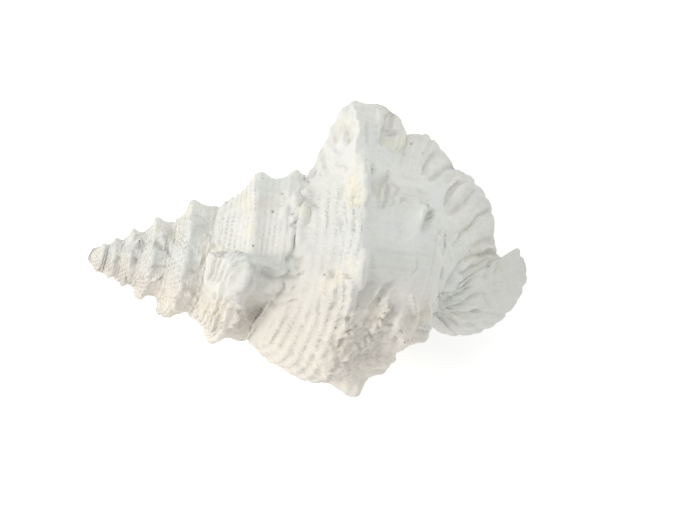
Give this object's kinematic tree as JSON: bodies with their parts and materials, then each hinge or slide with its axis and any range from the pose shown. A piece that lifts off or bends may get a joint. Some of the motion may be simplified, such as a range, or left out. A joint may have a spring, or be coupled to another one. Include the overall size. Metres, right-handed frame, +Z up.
{
  "type": "sea snail shell",
  "caption": "Large chalky-white sea snail shell with a knobbed spire, a broad ruffled outer lip and a short fanned canal.",
  "frame": {"origin": "centre of the bounding box on the surface that the shell rests on", "axes": "+X from the tip of the spire towards the siphonal canal, +Y towards the outer lip, +Z up"},
  "size_m": [0.183, 0.1226, 0.0939],
  "materials": {
    "shell": "matte"
  },
  "bodies": {
    "root": {"shell": "shell"}
  },
  "joints": []
}
